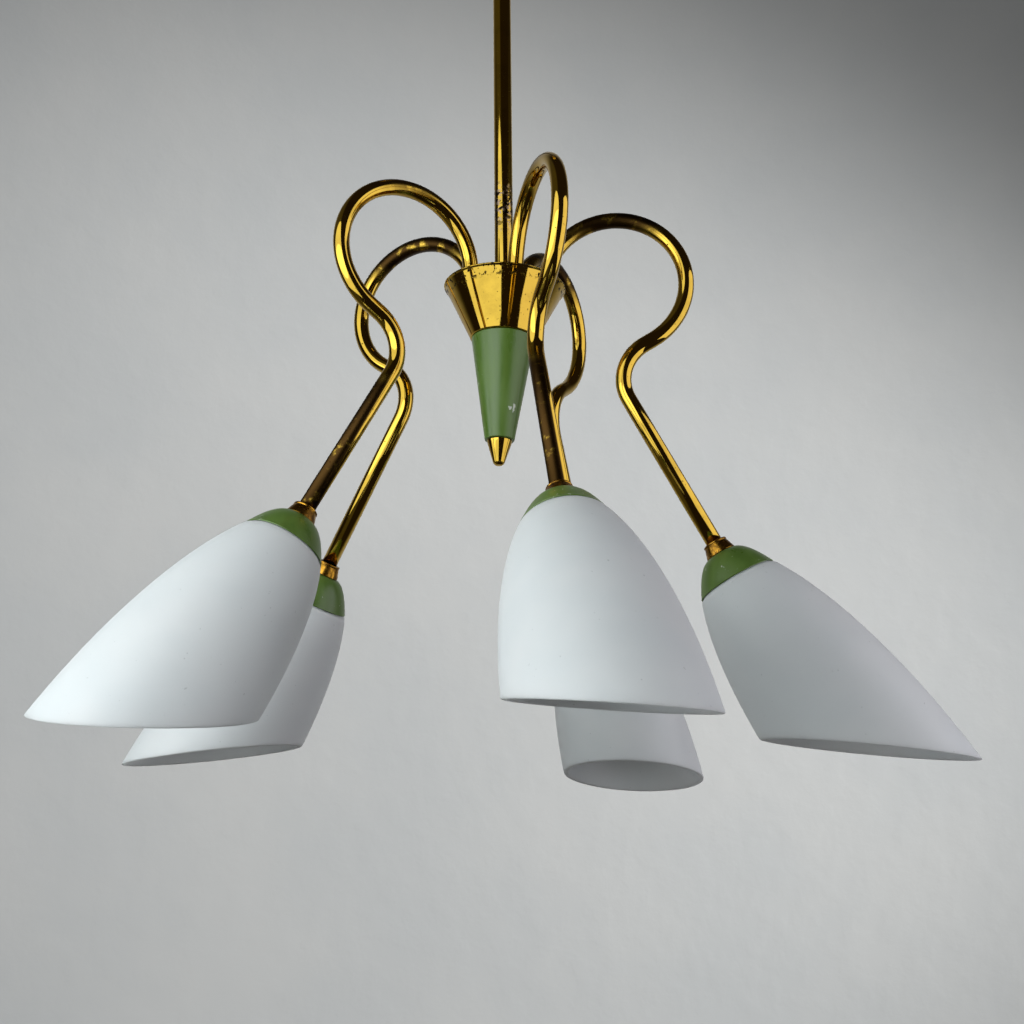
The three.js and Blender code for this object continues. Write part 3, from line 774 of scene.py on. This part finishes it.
# ---- mains cable and leads -----------------------------------------------------------
# Two-core rubber cable from the ceiling terminal down the stem, and one rubber lead from the
# junction disc through each arm. All of it is held inside the metal, apart from the short arch.
cable_radius = 2.5
cable_circle = 8.9                    # radius on which the cable meets the junction disc
lead_radius = 2.2
lead_circle = 11                      # radius on which the leads meet it
cable_bend = 5
wire_end = -26.7
cable_start = -15
cable_arch = nipple_high + 3 - cup_rim
window_azimuth = 32
lead_reach = 25.9                     # how far a lead runs past the arm's straight, into the lampholder

# Off-white rubber sleeve, matt and a little dusty.
white_rubber = clouded("aged_white_rubber", 3, 0.35, 0.7, ("#cfc8b6", "#ddd7c8"), 0.02,
                       Roughness=0.7, IOR=1.5)


def jog(across_by, drop, radius, sweep):
    """Moves that step sideways over a drop: a bend, a slanted straight, a bend back, a straight."""
    slope = math.radians(abs(sweep))
    slant = (across_by - 2 * radius * (1 - math.cos(slope))) / math.sin(slope)
    tail = drop - 2 * radius * math.sin(slope) - slant * math.cos(slope)
    return [(radius, sweep), (slant,), (radius, -sweep), (tail,)]


def turn_points(points, degrees):
    turn = Matrix.Rotation(math.radians(degrees), 3, "Z")
    return [turn @ point for point in points]


def supply_cable():
    over = walk(0, cable_arch, 0, [(cable_bend, 90), (terminal_y - 2 * cable_bend,), (cable_bend, 90),
                                   (cable_arch - (terminal_top + touch_gap - cup_rim),)], 9)
    out = walk(0, cable_start, 180, jog(cable_circle, cable_start - wire_end, cable_bend, -75), 9)
    lean = Matrix.Translation((0, 0, -cup_rim)) @ hanging
    lower = [lean @ point for point in turn_points(out, window_azimuth)]
    return [*turn_points(over, 90)[::-1], *lower]


cable = swept(supply_cable(), cable_radius, 20, white_rubber, True)
finished("mains_cable", cable, Matrix.Translation((0, 0, cup_rim)), "fixture", "white_rubber",
         white_rubber, "supply_cable")
for name, bend in arm_bends.items():
    start = arm_foot - touch_gap
    foot = walk(0, start, 180, jog(arm_circle - lead_circle, start - wire_end, cable_bend, 80), 10)[::-1]
    inside = walk(0, arm_foot, 0, arm_moves(bend, lead_reach), 6)[1:]
    lead = swept([*foot, *turn_points(inside, arm_turns[name])], lead_radius, 12, white_rubber, True)
    finished(f"lead_{name}", lead, arm_places(name)[0], "fixture", "white_rubber", white_rubber,
             f"arm_lead_{name}")

# ---- ferrules ------------------------------------------------------------------------
# A turned brass collar with a bead on each arm's end, above the cap. It was never polished as
# brightly as the tubes, and has gone dull and brown. From here on, heights count down the arm's end
# from the ferrule's top.
ferrule_length = 8
ferrule_top_radius = 7.35
ferrule_foot_radius = 9.45


def dull_bronze():
    """Unpolished brass gone brown: low gloss, uneven, with dark pits."""
    material, tree, at = new_finish("dull_bronze")
    cloud = speckle(tree, at, 4, 0.35, 0.65)
    colour = blended(tree, cloud, "#b5842c", "#6a4a1e")
    pits = speckle(tree, at, 1.1, 0.64, 0.7)
    colour = blended(tree, pits, colour, "#3d2815")
    surface(tree, {"Base Color": colour, "Metallic": 1.0,
                   "Roughness": between(tree, cloud, 0, 1, 0.2, 0.36)}, pits, -0.04)
    return material


bronze = dull_bronze()


def ferrule():
    top, foot = ferrule_top_radius, ferrule_foot_radius
    return turned(rounded([
        (arm_sleeve, 0, 0.2), (top, 0, 0.4), (top + 0.15, 0.8, 0.3), (top - 0.1, 1.5, 0.25),
        (top + 0.2, 2.1, 0.3), (foot, ferrule_length, 0.4), (arm_sleeve, ferrule_length)]), 64)


def on_each_arm(piece, make, slot, finish):
    """Puts one of these pieces at the lower end of every arm."""
    for name in arm_bends:
        finished(f"{piece}_{name}_form", make(), arm_places(name)[2], "fixture", slot, finish,
                 f"{piece}_{name}")


on_each_arm("ferrule", ferrule, "dull_bronze", bronze)

# ---- caps ----------------------------------------------------------------------------
# A dome of spun metal in the same green lacquer, between ferrule and glass. It hides the lampholder's
# neck and the clamped rim of the glass.
cap_foot = 27
cap_top = 8.3
cap_wall = 0.8
cap_round = 0.57                      # 0.5 is a parabolic dome, 1 is a cone
glass_half_length = 160               # the shade is part of a long egg-shaped ellipsoid
glass_half_width = 48.6
glass_centre = 138.5

cap_lacquer = green_lacquer("green_cap_lacquer", "#4e682b", "#5e7937", 3, 0.665)


def egg_radius(depth, inset=0):
    """Radius of the shade's ellipsoid, shrunk by an inset, at a depth under the cap's rim."""
    along = (glass_centre - depth) / (glass_half_length - inset)
    return (glass_half_width - inset) * math.sqrt(1 - along ** 2)


def dome(top, rim_radius, steps=24):
    top_radius = ferrule_foot_radius - touch_gap
    shares = [(i / steps) ** 2 for i in range(steps + 1)]
    return [(top_radius + (rim_radius - top_radius) * share ** cap_round, top + (cap_foot - top) * share)
            for share in shares]


def cap():
    rim = egg_radius(0)
    outside = dome(cap_top, rim)
    inside = dome(cap_top + sheet, rim - cap_wall)[::-1]
    lip = [(rim - 0.15, cap_foot + 0.1), (rim - cap_wall + 0.15, cap_foot + 0.1)]
    return turned([(arm_sleeve, cap_top), *outside[:-1], (rim, cap_foot - 0.3), *lip,
                   (rim - cap_wall, cap_foot - 0.3), *inside[1:], (arm_sleeve, cap_top + sheet)])


on_each_arm("green_cap", cap, "green_lacquer", cap_lacquer)

# ---- lampholders and shade rings -----------------------------------------------------
# A small moulded lampholder screwed on each arm's end, threaded outside. The ring on that thread
# clamps the glass's neck up into the cap.
holder_top = 9.5
holder_neck = 8.5
holder_shoulder = 16.9
holder_radius = 13.2
holder_foot = 51.9
socket_bore = 7.8
socket_top = 29.9
ring_bore = 13.8
ring_wall = 3.3
ring_top = 24.6
ring_height = 6
ring_grips = 12


def lampholder():
    seat = tenon_length + touch_gap
    return turned(rounded([
        (arm_sleeve, holder_top), (holder_neck, holder_top, 0.6), (holder_neck, holder_shoulder, 0.5),
        (holder_radius - 0.5, holder_shoulder + 2, 0.8), *thread(holder_radius, 20, 42, 1.6),
        (holder_radius - 0.4, 43), (holder_radius, 43.4, 0.3), (holder_radius, holder_foot, 1),
        (socket_bore, holder_foot, 0.6), (socket_bore, socket_top, 0.4), (3.4, socket_top - 1),
        (3.4, seat), (arm_sleeve, seat)]), 64)


def shade_ring():
    """Ring with twelve grips round its edge."""
    outer, foot = ring_bore + ring_wall, ring_top + ring_height
    form = turned(rounded([(ring_bore, ring_top, 0.3), (outer, ring_top, 0.6), (outer, foot, 0.8),
                           (ring_bore, foot, 0.4)]))
    for vertex in form.verts:
        outward = Vector((vertex.co.x, vertex.co.y, 0))
        wave = math.cos(ring_grips * math.atan2(outward.y, outward.x))
        if outward.length > outer - 1.2 and wave < 0:
            vertex.co += outward.normalized() * 0.9 * wave
    return form


on_each_arm("lampholder", lampholder, "black_bakelite", black_bakelite)
on_each_arm("shade_ring", shade_ring, "black_bakelite", black_bakelite)

# ---- glass shades --------------------------------------------------------------------
# Mouth-blown opal glass, etched satin outside, 3 mm thick. The neck is clamped in the cap, the body
# leans outwards, and the mouth is ground off level. Each glass was set by hand at its own angle.
glass_wall = 3
glass_lean = 6.6
mouth_drop = 115.1
mouth_slope = 5.7
glass_edge = 0.9                      # how far the ground mouth's corners are rounded
shoulder = 2                          # the free glass starts this far under the cap's rim
neck_seat = 21
neck_wall = 3.3
glass_turns = {"front": -1, "right": 6, "back": -5, "left_rear": -11, "left_front": -21}


def etched_opal_glass():
    """White opal glass with an acid-etched skin: milky and softly translucent, a satin sheen, and
    the faintest clouds, with a few specks of dust."""
    material, tree, at = new_finish("etched_opal_glass")
    cloud = speckle(tree, at, 60, 0.3, 0.7, detail=2)
    colour = blended(tree, cloud, "#e5e9ea", "#eceeee")
    specks = speckle(tree, at, 2.2, 0.77, 0.79, detail=1)
    colour = blended(tree, times(tree, specks, 0.5), colour, "#b9bdbb")
    surface(tree, {"Base Color": colour, "Roughness": 0.5, "IOR": 1.5, "Subsurface Weight": 1.0,
                   "Subsurface Radius": (1.0, 1.0, 1.0), "Subsurface Scale": 0.007})
    return material


opal_glass = etched_opal_glass()


def on_egg(depth, inset, angle):
    """Point of the leaning ellipsoid on one meridian, at a depth under the cap's rim."""
    radius = egg_radius(depth, inset)
    shift = depth * math.tan(math.radians(glass_lean))
    return Vector((radius * math.cos(angle) + shift, radius * math.sin(angle), cap_foot + depth))


def mouth_depth(inset, angle, mouth_middle, downward):
    """Depth at which a meridian meets the mouth's plane, found by halving."""
    low, high = 0, glass_centre + 0.95 * glass_half_length
    for _ in range(30):
        middle = (low + high) / 2
        past = (on_egg(middle, inset, angle) - mouth_middle).dot(downward) > 0
        low, high = (low, middle) if past else (middle, high)
    return low


def glass_shade():
    rim = egg_radius(0)
    neck_bore = ring_bore + touch_gap
    neck_foot = neck_seat + neck_wall
    near_rim = cap_foot - touch_gap
    under_rim = rim - 2 * cap_wall
    neck = rounded([
        (neck_bore, neck_foot, 0.3), (neck_bore, neck_seat, 0.3),
        (neck_bore + neck_wall, neck_seat + touch_gap, 0.5), (rim - 3, neck_foot - touch_gap, 0.8),
        (under_rim, near_rim), (under_rim - glass_wall, near_rim)])
    neck_out = neck[:-1]
    neck_in = [(under_rim - glass_wall, near_rim), (neck_bore + glass_wall, neck_foot)]
    level = (Matrix.Rotation(math.pi, 4, "Z")
             @ Matrix.Rotation(-math.radians(loop_sweep - return_sweep), 4, "Y")
             @ Matrix.Translation((0, 0, -mouth_drop))
             @ Matrix.Rotation(math.radians(mouth_slope), 4, "Y"))
    mouth_middle, downward = level @ Vector(), level.to_3x3() @ Vector((0, 0, -1))
    steps, meridians = 48, 160

    def lifted(outline, angle):
        return [Vector((r * math.cos(angle), r * math.sin(angle), z)) for r, z in outline]

    def eased_corner(before, corner, after):
        start = corner + (before - corner).normalized() * glass_edge
        end = corner + (after - corner).normalized() * glass_edge
        return [start * (1 - t) ** 2 + corner * 2 * t * (1 - t) + end * t ** 2
                for t in (0, 0.25, 0.5, 0.75, 1)]

    form = bmesh.new()
    lines = []
    for i in range(meridians):
        angle = 2 * math.pi * i / meridians
        ends = [mouth_depth(inset, angle, mouth_middle, downward) for inset in (0, glass_wall)]
        outside, inside = [[on_egg(shoulder + (end - shoulder) * k / steps, inset, angle)
                            for k in range(steps + 1)] for end, inset in zip(ends, (0, glass_wall))]
        outer, inner = outside.pop(), inside.pop()
        rim_edge = [*eased_corner(outside[-1], outer, inner), *eased_corner(outer, inner, inside[-1])]
        line = [*lifted(neck_out, angle), *outside, *rim_edge, *inside[::-1], *lifted(neck_in, angle)]
        lines.append([form.verts.new(point) for point in line])
    return skinned(form, lines)


for name, turn in glass_turns.items():
    where = arm_places(name)[2] @ Matrix.Rotation(math.radians(turn), 4, "Z")
    finished(f"glass_shade_{name}_form", glass_shade(), where, f"shade_{name}", "opal_glass", opal_glass,
             f"glass_shade_{name}", sharp=60)

# ---- bulbs ---------------------------------------------------------------------------
# A small round opal bulb in each lampholder, with a screwed metal base.
bulb_top = 30.5
bulb_length = 76
bulb_radius = 22.5
bulb_base = 20
base_radius = 6.8

# Thin white-coated bulb glass, smooth and glossy.
bulb_glass = clouded("opal_bulb_glass", 30, 0.3, 0.7, ("#e4e2dc", "#ebe9e4"), Roughness=0.12, IOR=1.5)


def bulb_globe():
    """Neck and globe as one closed skin with a flat end inside the base."""
    middle = bulb_top + bulb_length - bulb_radius
    globe = [(bulb_radius * math.cos(math.radians(a)), middle + bulb_radius * math.sin(math.radians(a)))
             for a in range(-40, 90, 5)]
    low = bulb_top + bulb_base
    return turned([(0, low - 2), (6.2, low - 2), (6.5, low), (8, low + 7), (12.5, low + 14), *globe,
                   (0, middle + bulb_radius)], 64)


def bulb_base_form():
    low = bulb_top + bulb_base
    return turned([
        (0, bulb_top), (2, bulb_top), (3.4, bulb_top + 1.2),
        *thread(base_radius, bulb_top + 3, low - 3, 2.8), (base_radius, low - 2.6),
        (base_radius, low - 0.2), (base_radius - 0.4, low), (0, low)], 48)


for name in arm_bends:
    end = arm_places(name)[2]
    finished(f"bulb_{name}_globe", bulb_globe(), end, f"bulb_{name}", "bulb_glass", bulb_glass,
             f"bulb_{name}")
    finished(f"bulb_{name}_base", bulb_base_form(), end, f"bulb_{name}", "zinc_steel", zinc_steel)

# ---- room and light ------------------------------------------------------------------
# A plain pale floor that sweeps up into walls all round, under a ceiling. The lamp has a soft box at
# the left, in two parts that overlap, one at the right, and weak light back from wall and floor. The
# room has lights of its own that don't reach the lamp, and the polished brass mirrors a dark studio.
floor_height = -2.0
wall_radius = 2.6
wall_height = 2.6
sweep_radius = 1.0


def pale_plaster():
    """Matt pale grey plaster with soft trowel marks."""
    material, tree, at = new_finish("pale_plaster")
    cloud = speckle(tree, at, 400, 0.3, 0.7)
    marks = speckle(tree, at, 60, 0.3, 0.75, detail=4, rough=0.45)
    colour = blended(tree, cloud, "#c8c9c9", "#cdcdcc")
    surface(tree, {"Base Color": colour, "Roughness": 0.95, "Specular IOR Level": 0.1}, marks, 0.8)
    return material


def room():
    """Round room, in metres. Only the camera sees it: it throws no light back and isn't mirrored."""
    sweep = [(wall_radius - sweep_radius * (1 - math.sin(a)), floor_height + sweep_radius * (1 - math.cos(a)))
             for a in [math.radians(5 * i) for i in range(1, 19)]]
    made = as_object("studio_room", turned([
        (0, floor_height), (wall_radius - sweep_radius, floor_height), *sweep,
        (wall_radius, wall_height), (0, wall_height)], 128))
    made.data.polygons.foreach_set("use_smooth", [True] * len(made.data.polygons))
    made.data.materials.append(pale_plaster())
    made.visible_glossy = False
    made.visible_diffuse = False
    return made


studio_room = room()

lights_on_walls = bpy.data.collections.new("lights_on_walls")
lights_on_lamp = bpy.data.collections.new("lights_on_lamp")
for group, state in ((lights_on_walls, "INCLUDE"), (lights_on_lamp, "EXCLUDE")):
    group.objects.link(studio_room)
    group.collection_objects[0].light_linking.link_state = state


def new_light(name, kind, power, colour, group):
    lamp = bpy.data.lights.new(name, kind)
    lamp.energy = power
    lamp.color = linear(colour)[:3]
    made = bpy.data.objects.new(name, lamp)
    made.visible_camera = False
    made.light_linking.receiver_collection = group
    bpy.context.scene.collection.objects.link(made)
    return made


def soft_box(name, shape, azimuth, distance, middle, width, height, power, colour, turn=0):
    """Upright area light on the lamp, which it faces or is turned away from by some degrees. Its
    azimuth counts from the front to the right, and middle is its height. Lengths are in metres."""
    around = math.radians(azimuth)
    away = Vector((math.sin(around), -math.cos(around), 0))
    made = new_light(name, "AREA", power, colour, lights_on_lamp)
    made.data.shape, made.data.size, made.data.size_y = shape, width, height
    made.location = away * distance + Vector((0, 0, middle))
    made.rotation_mode = "QUATERNION"
    backwards = Matrix.Rotation(math.radians(turn), 3, "Z") @ away
    made.rotation_quaternion = backwards.to_track_quat("Z", "Y")
    return made


def wall_light(name, kind, place, power):
    """Lamp that lights only the room."""
    made = new_light(name, kind, power, "#fdffff", lights_on_walls)
    made.data.shadow_soft_size = 0.2
    made.location = place
    return made


soft_box("left_upper_box", "ELLIPSE", azimuth=-54, distance=0.68, middle=-0.32, width=1.1, height=0.74,
         power=3.1, colour="#f5fdff", turn=20)
soft_box("left_lower_box", "RECTANGLE", azimuth=-55, distance=0.68, middle=-0.61, width=1.08, height=0.66,
         power=3.6, colour="#f5fdff", turn=20)
soft_box("right_soft_box", "RECTANGLE", azimuth=74, distance=0.8, middle=-0.51, width=0.95, height=1.02,
         power=4.3, colour="#f8f8ff")
wall_bounce = soft_box("wall_bounce", "RECTANGLE", azimuth=180, distance=1.6, middle=-0.4, width=3,
                       height=2.4, power=12, colour="#fbfaf7")
floor_bounce = soft_box("floor_bounce", "SQUARE", azimuth=0, distance=0, middle=-1.9, width=2.4,
                        height=2.4, power=1, colour="#fff6ea")
floor_bounce.rotation_quaternion = (0, 1, 0, 0)    # it shines up
for bounce in (wall_bounce, floor_bounce):
    bounce.visible_glossy = False
wall_light("wall_light_high", "POINT", (-0.05, 1.18, 0.95), 26)
wall_light("light_behind_camera", "POINT", (0, -1.4, 0), 10)
# Each spot's place, the point it is aimed at, its spread in degrees and its power.
wall_spots = {
    "wall_spot": ((1.9, -0.53, -0.45), (-0.12, 2.4, -0.4), 75, 480),
    "near_wall_spot": ((0, 0.3, 0.3), (0, -2.4, 0), 165, 150),
    "left_wall_spot": ((0.3, -0.3, 0), (-2.5, -0.9, -0.4), 110, 230),
    "ceiling_spot": ((0, 0, -0.5), (0, 0.01, 2.6), 80, 240),
}
for name, (place, target, spread, power) in wall_spots.items():
    spot = wall_light(name, "SPOT", place, power)
    spot.data.spot_size, spot.data.spot_blend = math.radians(spread), 1
    spot.rotation_mode = "QUATERNION"
    spot.rotation_quaternion = (Vector(target) - spot.location).to_track_quat("-Z", "Y")

# The world shows only in glossy surfaces: the dark studio with a faint glow at both sides, and the lit
# wall behind the lamp. X and Y below are those of the mirrored direction.
world = bpy.data.worlds.new("dark_studio")
world.use_nodes = True
world.cycles_visibility.diffuse = False
world_tree = world.node_tree
direction = add_node(world_tree, "ShaderNodeTexCoord").outputs["Generated"]
part = add_node(world_tree, "ShaderNodeSeparateXYZ", {"Vector": direction}).outputs
left_glow = times(world_tree, between(world_tree, part["X"], -0.5, -0.3, 1, 0),
                  between(world_tree, part["X"], -0.92, -0.8))
right_glow = between(world_tree, part["X"], 0.8, 0.95)
around_lamp = blended(world_tree, larger(world_tree, left_glow, right_glow), "#251f17", "#4e4b3c")
around_lamp = blended(world_tree, between(world_tree, part["Y"], 0.3, 0.85), around_lamp, "#a9aaa8")
world_tree.links.new(around_lamp, world_tree.nodes["Background"].inputs["Color"])
bpy.context.scene.world = world
bpy.context.scene.view_settings.view_transform = "Standard"

# ---- camera --------------------------------------------------------------------------
# Below the shades and close to them, looking slightly up with a normal lens.
camera = bpy.data.cameras.new("camera")
camera.lens = 49.23
camera.sensor_width = 36
eye = bpy.data.objects.new("camera", camera)
eye.location = (-0.01435, -0.82756, -0.8115)
tilt_up, turn_right, roll = 15.66, 1.248, -0.523
eye.matrix_world = (Matrix.Translation(eye.location)
                    @ Matrix.Rotation(-math.radians(turn_right), 4, "Z")
                    @ Matrix.Rotation(math.radians(90 + tilt_up), 4, "X")
                    @ Matrix.Rotation(math.radians(roll), 4, "Z"))
bpy.context.scene.collection.objects.link(eye)
bpy.context.scene.camera = eye
